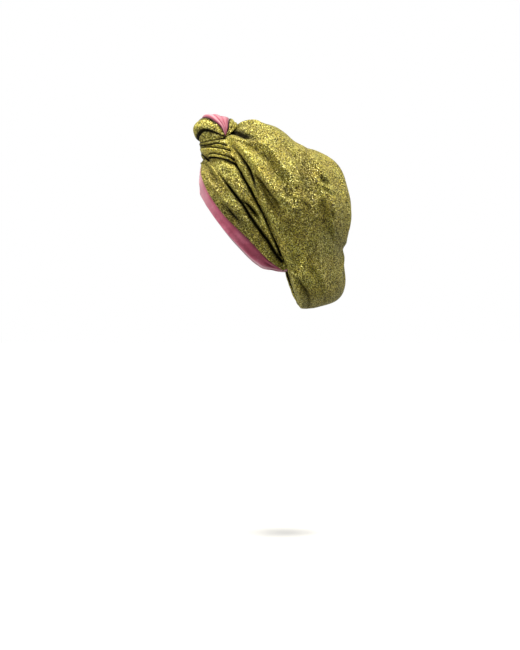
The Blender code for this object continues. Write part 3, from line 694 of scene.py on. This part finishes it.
def level_turn(levels, y, z):
    """The turns from the mid-plane at which a face given as level cuts passes y at heights z."""
    front_y, _, middle_y = look_up(levels, z)
    depth = np.where(y < middle_y, middle_y - front_y, BACK_DEPTH)
    share = np.clip((middle_y - y) / depth, -1.0, 1.0)
    return np.degrees(np.arccos(power(share, BODY_SQUARENESS / 2.0)))


def on_level_face(levels, y, z, lift):
    """Where a face given as level cuts, lifted by this much, has the place that the eye sees at y and z."""
    base_y = y.copy()
    base_z = z.copy()
    for _ in range(6):
        turn = level_turn(levels, base_y, base_z)
        seen_y, seen_z = seen(level_face(levels, turn, base_z) + lift * level_normal(levels, turn, base_z))
        base_y += y - seen_y
        base_z += z - seen_z
    return base_y, base_z


def level_normal(levels, turn, z):
    """The unit normals of a face given as level cuts, by steps of half a degree and half a millimetre."""
    across = level_face(levels, turn + 0.5, z) - level_face(levels, turn - 0.5, z)
    rise = level_face(levels, turn, z + 0.5) - level_face(levels, turn, z - 0.5)
    return unit(np.cross(across, rise))


def wrap_face(x, y):
    """The left wrap, with x from the knot to the ear and y from the front border to the rear one."""
    run = (x + 1.0) / 2.0
    back = (y + 1.0) / 2.0
    front_y, front_z, rear_y, rear_z = spline(WRAP_STATIONS, run).T
    front_y, front_z = on_level_face(BODY_LEVELS, front_y, front_z, WRAP_BORDER_LIFT)
    rear_y, rear_z = on_level_face(BODY_LEVELS, rear_y, rear_z, WRAP_BORDER_LIFT)
    first = np.maximum(level_turn(BODY_LEVELS, front_y, front_z), 0.1)
    last = level_turn(BODY_LEVELS, rear_y, rear_z)
    turn = first + (last - first) * back
    z = front_z + (rear_z - front_z) * back
    base = level_face(BODY_LEVELS, turn, z)
    out = level_normal(BODY_LEVELS, turn, z)
    height, shade = fold(WRAP_FOLDS, *seen(base + WRAP_FOLD_LIFT * out))
    height *= 0.25 + 0.75 * smooth(0.0, 0.12, run)
    # A little shade is painted over all of the wrap
    shade = np.minimum(shade + 0.08, 1.0)
    height += slack("wrap", base)
    # Filled out where the form under it falls back, and lower where it lies under the collar
    fill = sum(rise * swell(base[:, 2], level, reach) for rise, level, reach in WRAP_FILLS)
    height += fill * falling(0.3, 0.7, back)
    under_collar = falling(*UNDER_COLLAR, run)
    height -= COLLAR_REBATE * under_collar * falling(0.0, 0.6, back)
    # The front border is a rounded fold, and never sinks into the velvet under it
    height += WRAP_BORDER_HEIGHT * swell(back, 0.07, 0.06) * smooth(0.1, 0.3, run)
    height -= WRAP_BORDER_FALL * falling(0.0, 0.03, back)
    lowest = -WRAP_SINK - WRAP_SINK_BEHIND * smooth(0.1, 0.35, back) - COLLAR_REBATE * under_collar
    height = np.maximum(height, lowest)
    return base + out * (WRAP_LIFT + CLOTH + WRAP_FULLNESS + height)[:, None], shade


def right_wrap_face(x, y):
    """The right wrap: the left one mirrored, with its end a little higher, as the band's is."""
    points, shade = wrap_face(-x, y)
    points[:, 2] += RIGHT_RISE * smooth(0.2, 1.0, -x)
    return points * np.array((-1.0, 1.0, 1.0)), shade


def velvet_face(x, y):
    """The velvet band, with x from the right ear to the left ear and y from the lower border up."""
    turn = x * VELVET_STATIONS[-1][0]
    rise = (y + 1.0) / 2.0
    lower_z, upper_z = look_up(VELVET_STATIONS, np.abs(turn))
    lower_z += RIGHT_RISE * smooth(10.0, 40.0, -turn)
    z = lower_z + (upper_z - lower_z) * rise
    base = level_face(BODY_LEVELS, turn, z)
    out = level_normal(BODY_LEVELS, turn, z)
    height, shade = fold(VELVET_FOLDS, *seen(base + VELVET_FOLD_LIFT * out))
    # Plump along the turned lower border and thin at the ends and under the wraps
    above_border = z - lower_z
    plumpness = VELVET_PLUMPNESS[0] + VELVET_PLUMPNESS[1] * falling(*VELVET_ENDS, np.abs(turn))
    rounding = np.sqrt(np.clip(above_border / VELVET_BORDER, 0.0, 1.0))
    height += plumpness * rounding * falling(VELVET_BORDER, 3.0 * VELVET_BORDER, above_border)
    height += slack("velvet", base)
    height -= VELVET_BORDER_FALL * falling(0.0, 3.0, above_border)
    height -= VELVET_REBATE * smooth(20.0, 30.0, above_border)
    # Painted highlights: along the turned lower border, for the pile's sheen, and paler paint over the brow
    shade -= swell(above_border, 0.0, PAINTED_RIM_HIGHLIGHT) + PAINTED_BROW_LIGHT * smooth(-130.0, -80.0, z)
    return base + out * (VELVET + height)[:, None], shade


def collar_face(x, y):
    """The collar, with x from the right pinch to the left pinch and y from the lower border up."""
    turn = x * COLLAR_BORDERS[-1][0]
    rise = (y + 1.0) / 2.0
    lower_z, upper_z = look_up(COLLAR_BORDERS, np.abs(turn))
    z = lower_z + (upper_z - lower_z) * rise
    base = level_face(COLLAR_LEVELS, turn, z)
    out = level_normal(COLLAR_LEVELS, turn, z)
    height, shade = fold(COLLAR_FOLDS, *seen(base))
    # The pleats are shallow in front, where the two sides meet
    height *= 0.25 + 0.75 * smooth(*COLLAR_FRONT, np.abs(turn))
    height += slack("collar", base)
    height -= COLLAR_LOWER_FALL * falling(0.0, 0.12, rise) + COLLAR_UPPER_FALL * smooth(0.9, 1.0, rise)
    # Painted shade under the knot, and lighter paint on the cloth between the creases
    shade = np.minimum(shade + swell(z, upper_z, COLLAR_SHADOW), 1.0)
    shade -= COLLAR_LIGHT * (1.0 - np.clip(shade, 0.0, 1.0))
    return base + out * (height + COLLAR_FULLNESS)[:, None], shade


def roll_face(lower, upper, longitude, latitude):
    """The surface of the roll between two borders, for a ball's longitude and latitude, each from -1 to 1."""
    share = np.sin(np.radians(90.0 * latitude)) * POLE_SHARE
    low, high = (
        spline([(value,) for value in ROLL_BORDERS[border]], np.abs(share))[:, 0] for border in (lower, upper)
    )
    fall = (1.0 - np.abs(share) ** KNOT_ROUNDNESS) ** (1.0 / KNOT_ROUNDNESS)
    fall = np.maximum(fall, LEAST_FALL)
    # Most of the way round lies on the outer face, and the rest on the sides and the inner face
    turn = np.abs(longitude)
    outside = turn < OUTER_FACE_END
    side = np.where(longitude > 0.0, 1.0, 0.0)
    across = np.where(outside, 0.5 + 0.5 * longitude / OUTER_FACE_END, side)
    depth = np.where(outside, 0.0, smooth(OUTER_FACE_END, SIDES_END, turn))
    inner = np.clip((turn - INNER_FACE_START) / INNER_FACE_SHARE, 0.0, 1.0)
    across += np.where(longitude > 0.0, -0.5, 0.5) * inner
    middle = np.radians(low + (high - low) * across)
    outer = (look_up(ROLL_RADII, np.degrees(middle))[0] - ROLL_DEPTHS[upper]) * fall
    # The pleats, and the hollow core
    height = pleats(ROLL_PLEATS[upper], across)
    crest = max(row[2] for row in ROLL_PLEATS[upper])
    outer -= np.minimum(crest - height, DEEPEST_PLEAT * outer) * (0.5 + 0.5 * fall)
    radius = outer + (outer * ROLL_CORE - outer) * depth
    radius = np.maximum(radius, LEAST_RADIUS)
    inset = np.minimum(ROLL_GAP / 2.0 / radius, 0.1)
    angle = np.radians(low) + inset + (np.radians(high - low) - 2.0 * inset) * across
    y = KNOT_Y + radius * np.cos(angle)
    z = KNOT_Z + radius * np.sin(angle)
    points = np.stack((share * KNOT_HALF_WIDTH, y, z), axis=1)
    points[:, 1:] += (slack("roll", points) * fall)[:, None]
    # Painted shade where a roll goes down beside its neighbour and in its pleats' hollows, and a painted
    # highlight along its crests
    edge = np.abs(2.0 * across - 1.0) ** EDGE_SHARPNESS
    if lower == "crown":
        edge *= smooth(0.3, 0.6, across)
    if upper == "core":
        edge = np.maximum(edge, smooth(0.72, 0.95, across))
    share_up = height / crest
    shade = 1.2 * edge + 0.8 * (1.0 - share_up) ** 2 - CREST_LIGHT[upper] * share_up**3 * (1.0 - edge)
    return points, np.clip(shade, -1.0, 1.0)


# Materials
WAVE_SCALE = 2.0 / 6.2832  # the wave texture's scale for ribs one unit apart


def linear(code):
    """A colour's linear values from its sRGB hex code."""
    values = [int(code[start : start + 2], 16) / 255.0 for start in (1, 3, 5)]
    return tuple(
        value / 12.92 if value <= 0.04045 else ((value + 0.055) / 1.055) ** 2.4 for value in values
    ) + (1.0,)


def node(tree, kind, settings=None, stops=(), **links):
    """Adds a node with its own settings, a colour ramp's stops as (place, hex code), and its links.

    Each link is an input's name, or i and the input's number, with a value or the socket that feeds it.
    """
    added = tree.nodes.new(kind)
    for key, value in (settings or {}).items():
        setattr(added, key, value)
    if stops:
        points = added.color_ramp.elements
        while len(points) < len(stops):
            points.new(0.5)
        for point, (place, code) in zip(points, stops):
            point.position = place
            point.color = linear(code)
    for key, value in links.items():
        by_number = key[0] == "i" and key[1:].isdigit()
        socket = added.inputs[int(key[1:]) if by_number else key.replace("_", " ")]
        if isinstance(value, bpy.types.NodeSocket):
            tree.links.new(value, socket)
        else:
            socket.default_value = value
    return added


def blank(name):
    """A new material: its tree and its shader."""
    material = bpy.data.materials.new(name)
    material.use_nodes = True
    tree = material.node_tree
    return material, tree, tree.nodes["Principled BSDF"]


def metallic_knit(name, tones, painted_shade_code, metallic, roughness, sparkle):
    """Jersey with a flat metallic thread: a fine olive knit in which each loop glints by itself.

    The real loops are 0.9 mm apart. They are drawn 1 mm apart, or they would not show.
    """
    loop_mm = 1.0
    thread_mm = 0.6 * loop_mm
    clump_mm = 5.0
    patch_mm = 22.0
    material, tree, shader = blank(name)
    place = node(tree, "ShaderNodeTexCoord").outputs["Object"]
    loops = node(tree, "ShaderNodeTexVoronoi", Vector=place, Scale=1.0 / (loop_mm * MM), Randomness=1.0)
    threads = node(tree, "ShaderNodeTexVoronoi", Vector=place, Scale=1.0 / (thread_mm * MM), Randomness=1.0)
    clumps = node(
        tree, "ShaderNodeTexNoise", Vector=place, Scale=1.0 / (clump_mm * MM), Detail=2.0, Roughness=0.5
    )
    patches = node(
        tree, "ShaderNodeTexNoise", Vector=place, Scale=1.0 / (patch_mm * MM), Detail=3.0, Roughness=0.6
    )
    by_loop = node(tree, "ShaderNodeSeparateColor", Color=loops.outputs["Color"])
    by_thread = node(tree, "ShaderNodeSeparateColor", Color=threads.outputs["Color"])
    # Which loops show bright thread: by the loop itself, then by the finer thread, then by the clump
    chance = by_loop.outputs["Red"]
    for value, spread in ((by_thread.outputs["Red"], 0.42), (clumps.outputs["Fac"], 0.16)):
        drift = node(
            tree, "ShaderNodeMath", {"operation": "MULTIPLY_ADD"}, i0=value, i1=spread, i2=-spread / 2.0
        ).outputs[0]
        chance = node(tree, "ShaderNodeMath", {"operation": "ADD"}, i0=chance, i1=drift).outputs[0]
    thread = node(tree, "ShaderNodeValToRGB", stops=tones, Fac=chance).outputs["Color"]
    # Broad patches are a warmer ochre
    warm = node(
        tree, "ShaderNodeValToRGB", stops=((0.36, "#ffdf98"), (0.62, "#ffffff")), Fac=patches.outputs["Fac"]
    ).outputs["Color"]
    ochre = node(
        tree, "ShaderNodeMix", {"data_type": "RGBA", "blend_type": "MULTIPLY"}, i0=0.35, i6=thread, i7=warm
    ).outputs[2]
    # What follows the painted shading: its value at the far end, the value on plain cloth and the value
    # there.
    # Highlights are painted along the crests, and shade is painted into the creases, with less specular and
    # sheen there.
    painted_shading = node(tree, "ShaderNodeAttribute", {"attribute_name": "painted_shading"}).outputs["Fac"]
    follow = {}
    for effect, depth, plain, full in (
        ("crest", -1.0, 0.0, 0.7),
        ("shadow", 0.88, 0.0, 0.98),
        ("shine", 1.0, 0.5, 0.03),
        ("haze", 0.88, 0.2, 0.0),
    ):
        follow[effect] = node(
            tree, "ShaderNodeMapRange", Value=painted_shading, From_Min=0.0, From_Max=depth, To_Min=plain, To_Max=full
        ).outputs[0]
    # Painted highlight: the colour is raised along the crests
    lit = node(
        tree, "ShaderNodeMix", {"data_type": "RGBA", "blend_type": "ADD"},
        i0=follow["crest"], i6=ochre, i7=ochre,
    ).outputs[2]
    # Painted shade: the colour is taken towards the near-black colour of the creases
    colour = node(
        tree, "ShaderNodeMix", {"data_type": "RGBA", "blend_type": "MIX"},
        i0=follow["shadow"], i6=lit, i7=linear(painted_shade_code),
    ).outputs[2]
    gloss = node(
        tree, "ShaderNodeMapRange", Value=by_loop.outputs["Green"], From_Min=0.0, From_Max=1.0,
        To_Min=roughness - 0.1, To_Max=roughness + 0.14,
    ).outputs[0]
    # Each loop is a facet with a tilt of its own
    local = node(
        tree, "ShaderNodeVectorMath", {"operation": "SUBTRACT"}, i0=place, i1=loops.outputs["Position"]
    )
    lean = node(
        tree, "ShaderNodeVectorMath", {"operation": "SUBTRACT"}, i0=loops.outputs["Color"], i1=(0.5, 0.5, 0.5)
    )
    facet = node(
        tree, "ShaderNodeVectorMath", {"operation": "DOT_PRODUCT"}, i0=local.outputs[0], i1=lean.outputs[0]
    )
    height = node(tree, "ShaderNodeMath", {"operation": "MULTIPLY"}, i0=facet.outputs["Value"], i1=sparkle)
    bump = node(tree, "ShaderNodeBump", Height=height.outputs[0], Distance=1.0, Strength=1.0)
    tree.links.new(colour, shader.inputs["Base Color"])
    # Painted shade also turns the specular and the sheen down in the creases
    tree.links.new(follow["shine"], shader.inputs["Specular IOR Level"])
    tree.links.new(follow["haze"], shader.inputs["Sheen Weight"])
    tree.links.new(gloss, shader.inputs["Roughness"])
    tree.links.new(bump.outputs["Normal"], shader.inputs["Normal"])
    shader.inputs["Metallic"].default_value = metallic
    shader.inputs["Sheen Roughness"].default_value = 0.4
    shader.inputs["Sheen Tint"].default_value = linear("#f2e68c")
    return material


def pink_velvet(name):
    """Rayon velvet: a short upright pile, deep where it faces the eye and pale where it turns away."""
    pile_mm = 1.6
    brushed_mm = 16.0
    material, tree, shader = blank(name)
    place = node(tree, "ShaderNodeTexCoord").outputs["Object"]
    pile = node(
        tree, "ShaderNodeTexNoise", Vector=place, Scale=1.0 / (pile_mm * MM), Detail=2.0
    ).outputs["Fac"]
    brushed = node(
        tree, "ShaderNodeTexNoise", Vector=place, Scale=1.0 / (brushed_mm * MM), Detail=3.0, Distortion=0.6
    ).outputs["Fac"]
    base = node(
        tree, "ShaderNodeValToRGB", stops=((0.3, "#b0475f"), (0.5, "#c0566f"), (0.72, "#d06d84")), Fac=brushed
    ).outputs["Color"]
    fleck = node(
        tree, "ShaderNodeValToRGB", stops=((0.3, "#cfcfcf"), (0.7, "#ffffff")), Fac=pile
    ).outputs["Color"]
    colour = node(
        tree, "ShaderNodeMix", {"data_type": "RGBA", "blend_type": "MULTIPLY"}, i0=0.6, i6=base, i7=fleck
    ).outputs[2]
    # Painted highlight where the painted shading is below nought, for the pile's sheen, and then painted
    # shade deep in the creases
    painted_shading = node(tree, "ShaderNodeAttribute", {"attribute_name": "painted_shading"}).outputs["Fac"]
    for depth, most, code in ((-1.0, 0.8, "#efc0c8"), (1.0, 0.75, "#6a1f38")):
        amount = node(
            tree, "ShaderNodeMapRange", Value=painted_shading, From_Min=0.0, From_Max=depth, To_Min=0.0, To_Max=most
        ).outputs[0]
        colour = node(
            tree, "ShaderNodeMix", {"data_type": "RGBA", "blend_type": "MIX"},
            i0=amount, i6=colour, i7=linear(code),
        ).outputs[2]
    bump = node(tree, "ShaderNodeBump", Height=pile, Distance=0.25 * MM, Strength=0.5)
    tree.links.new(colour, shader.inputs["Base Color"])
    tree.links.new(bump.outputs["Normal"], shader.inputs["Normal"])
    shader.inputs["Roughness"].default_value = 0.85
    shader.inputs["Sheen Weight"].default_value = 1.0
    shader.inputs["Sheen Roughness"].default_value = 0.45
    shader.inputs["Sheen Tint"].default_value = linear("#ffdde4")
    return material


def knit_backing(name, code):
    """The reverse of a jersey: matt, with fine ribs 1.4 mm apart along the piece."""
    rib_mm = 1.4
    material, tree, shader = blank(name)
    along_piece = node(tree, "ShaderNodeTexCoord").outputs["UV"]
    ribs = node(
        tree, "ShaderNodeTexWave", Vector=along_piece, Scale=WAVE_SCALE / (rib_mm * MM), Distortion=1.0
    )
    tint = node(
        tree, "ShaderNodeMix", {"data_type": "RGBA", "blend_type": "MULTIPLY"}, i0=0.5, i6=linear(code),
        i7=ribs.outputs["Color"],
    ).outputs[2]
    bump = node(tree, "ShaderNodeBump", Height=ribs.outputs["Fac"], Distance=0.3 * MM, Strength=0.5)
    tree.links.new(tint, shader.inputs["Base Color"])
    tree.links.new(bump.outputs["Normal"], shader.inputs["Normal"])
    shader.inputs["Roughness"].default_value = 0.9
    return material


# From the dark ground between the loops to the brightest thread
GOLD_TONES = (
    (0.00, "#2f2a08"),
    (0.20, "#564f12"),
    (0.45, "#898022"),
    (0.66, "#b2a730"),
    (0.84, "#e2d858"),
    (1.00, "#fffaa4"),
)


# Pieces
SMOOTH_ANGLE = 60.0  # edges sharper than this, as at the cut borders, stay sharp


def to_mesh(piece, points, shade, spread, materials):
    """Gives a piece its corners, its painted shading as a point attribute, its UV map in metres and its
    materials.
    """
    mesh = piece.data
    mesh.vertices.foreach_set("co", (points * MM).ravel())
    shading_layer = mesh.attributes.new("painted_shading", "FLOAT", "POINT")
    shading_layer.data.foreach_set("value", shade)
    corners = np.empty(len(mesh.loops), dtype=np.int32)
    mesh.loops.foreach_get("vertex_index", corners)
    mesh.uv_layers.active.data.foreach_set("uv", (spread[corners] * MM).ravel())
    for material in materials:
        mesh.materials.append(material)
    mesh.update()
    bpy.ops.object.shade_smooth()


def corners_of(mesh):
    """The places of a mesh's corners, a row each."""
    places = np.empty(len(mesh.vertices) * 3)
    mesh.vertices.foreach_get("co", places)
    return places.reshape(-1, 3)


def cloth(name, columns, rows, surface, flat, wall, materials):
    """A cloth sheet: a flat grid moved onto a surface and thickened inwards. flat is its cut size in mm."""
    bpy.ops.object.select_all(action="DESELECT")
    bpy.ops.mesh.primitive_grid_add(x_subdivisions=columns, y_subdivisions=rows, size=2.0)
    piece = bpy.context.active_object
    piece.name = name
    start = corners_of(piece.data)
    points, shade = surface(start[:, 0], start[:, 1])
    to_mesh(piece, points, shade, start[:, :2] * np.array(flat) / 2.0, materials)
    thicken = piece.modifiers.new("wall", "SOLIDIFY")
    thicken.thickness = wall * MM
    thicken.offset = -1.0
    thicken.material_offset = 1
    thicken.material_offset_rim = 0
    bpy.ops.object.modifier_apply(modifier="wall")
    bpy.ops.object.shade_smooth_by_angle(angle=np.radians(SMOOTH_ANGLE))
    return piece


def knot_roll(name, lower, upper, unwound, materials):
    """A roll of the knot: a ball whose poles are the two pinches, moved onto the roll's surface.

    unwound is its width and length in mm once opened out, for the UV map.
    """
    bpy.ops.object.select_all(action="DESELECT")
    bpy.ops.mesh.primitive_uv_sphere_add(segments=128, ring_count=72, radius=1.0)
    piece = bpy.context.active_object
    piece.name = name
    start = corners_of(piece.data)
    longitude = np.arctan2(start[:, 1], start[:, 0]) / np.pi
    latitude = np.arcsin(np.clip(start[:, 2], -1.0, 1.0)) / (np.pi / 2.0)
    points, shade = roll_face(lower, upper, longitude, latitude)
    spread = np.stack((longitude, latitude), axis=1) * np.array(unwound) / 2.0
    to_mesh(piece, points, shade, spread, materials)
    bpy.ops.object.mode_set(mode="EDIT")
    bpy.ops.mesh.select_all(action="SELECT")
    bpy.ops.mesh.normals_make_consistent(inside=False)
    bpy.ops.object.mode_set(mode="OBJECT")
    return piece


# The shade painted in the knit's creases goes near black
knit = metallic_knit(
    "gold_metallic_knit", GOLD_TONES, painted_shade_code="#0c0902", metallic=0.35, roughness=0.42, sparkle=1.7
)
velvet = pink_velvet("pink_velvet_pile")
knit_back = knit_backing("metallic_knit_reverse", "#5b5226")
velvet_back = knit_backing("velvet_ground_cloth", "#8f4463")

crown = cloth("crown_cloth", 240, 170, crown_face, (430.0, 340.0), CLOTH, (knit, knit_back))
left = cloth("left_wrap_cloth", 130, 90, wrap_face, (235.0, 90.0), CLOTH, (knit, knit_back))
right = cloth("right_wrap_cloth", 130, 90, right_wrap_face, (235.0, 90.0), CLOTH, (knit, knit_back))
band = cloth("velvet_brow_band", 240, 24, velvet_face, (330.0, 50.0), VELVET, (velvet, velvet_back))
collar = cloth("knot_collar_cloth", 160, 60, collar_face, (170.0, 60.0), CLOTH, (knit, knit_back))
tuck = knot_roll("knot_tuck_cloth", "crown", "tuck", (40.0, 90.0), (knit,))
pink = knot_roll("knot_velvet_cloth", "tuck", "velvet", (60.0, 110.0), (velvet,))
loop = knot_roll("knot_loop_cloth", "velvet", "loop", (60.0, 120.0), (knit,))
core = knot_roll("knot_core_cloth", "loop", "core", (30.0, 110.0), (knit,))


def dress(piece, cad_node):
    """Hangs a piece on the root and hides the solid that it stands for."""
    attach(piece, "root")
    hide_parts(cad_node)


dress(crown, "crown")
dress(left, "wrap_left")
dress(right, "wrap_right")
dress(band, "velvet_band")
dress(collar, "knot_collar")
dress(tuck, "knot_tuck")
dress(pink, "knot_velvet")
dress(loop, "knot_loop")
dress(core, "knot_core")


# Camera: square to the turban's left side and a little lower than its lower border, as in the photograph
bpy.ops.object.select_all(action="DESELECT")
bpy.ops.object.camera_add(
    location=(CAMERA_X * MM, AIM_Y * MM, AIM_Z * MM), rotation=np.radians((90.0, 0.0, 90.0))
)
camera = bpy.context.active_object
camera.name = "photo_camera"
camera.data.lens = LENS
camera.data.sensor_width = SENSOR_WIDTH
bpy.context.scene.camera = camera


# Light: a wide soft one from straight above, a pale surround, and a soft box before and behind
KEY_STRENGTH = 5.8
KEY_SPREAD = 30.0  # degrees
SURROUND_STRENGTH = 0.33
SOFT_BOX_SIZE = 0.9


def soft_light(name, place, power_in_watts):
    """A square soft box at a place in metres, turned to the turban."""
    bpy.ops.object.light_add(type="AREA", location=place)
    lamp = bpy.context.active_object
    lamp.name = name
    lamp.rotation_mode = "QUATERNION"
    lamp.rotation_quaternion = (Vector((0.0, 0.0, -0.1)) - Vector(place)).to_track_quat("-Z", "Y")
    lamp.data.size = SOFT_BOX_SIZE
    lamp.data.energy = power_in_watts
    lamp.data.color = linear("#ffffff")[:3]


soft_light("front_soft_box", (0.3, -1.6, 0.1), 19.0)
soft_light("back_soft_box", (-0.5, 1.5, 0.1), 6.0)

bpy.ops.object.light_add(type="SUN", rotation=Vector((-0.04, 0.0, 1.0)).to_track_quat("Z", "Y").to_euler())
key = bpy.context.active_object
key.name = "overhead_diffuser"
key.data.energy = KEY_STRENGTH
key.data.angle = np.radians(KEY_SPREAD)
key.data.color = linear("#fffaf0")[:3]

# The paper behind the turban is white to the eye, and lights it less than it shows
world = bpy.data.worlds.new("white_studio")
world.use_nodes = True
air = world.node_tree
surround = air.nodes["Background"]
surround.inputs["Color"].default_value = linear("#ffffff")
surround.inputs["Strength"].default_value = SURROUND_STRENGTH
paper = node(air, "ShaderNodeBackground", Color=linear("#ffffff"), Strength=1.0)
ray = node(air, "ShaderNodeLightPath").outputs["Is Camera Ray"]
backdrop = node(air, "ShaderNodeMixShader", i0=ray, i1=surround.outputs[0], i2=paper.outputs[0])
air.links.new(backdrop.outputs[0], air.nodes["World Output"].inputs["Surface"])
bpy.context.scene.world = world
bpy.context.scene.view_settings.view_transform = "Standard"

# A floor so wide that its edge doesn't show. It throws no light back up at the cloth
bpy.ops.mesh.primitive_plane_add(size=40.0, location=(0.0, 0.0, FLOOR_Z * MM))
floor = bpy.context.active_object
floor.name = "studio_floor"
paint, _, paint_shader = blank("matt_white_floor_paint")
paint_shader.inputs["Base Color"].default_value = linear("#f2f2f0")
paint_shader.inputs["Roughness"].default_value = 0.9
floor.data.materials.append(paint)
floor.visible_diffuse = False
floor.visible_glossy = False
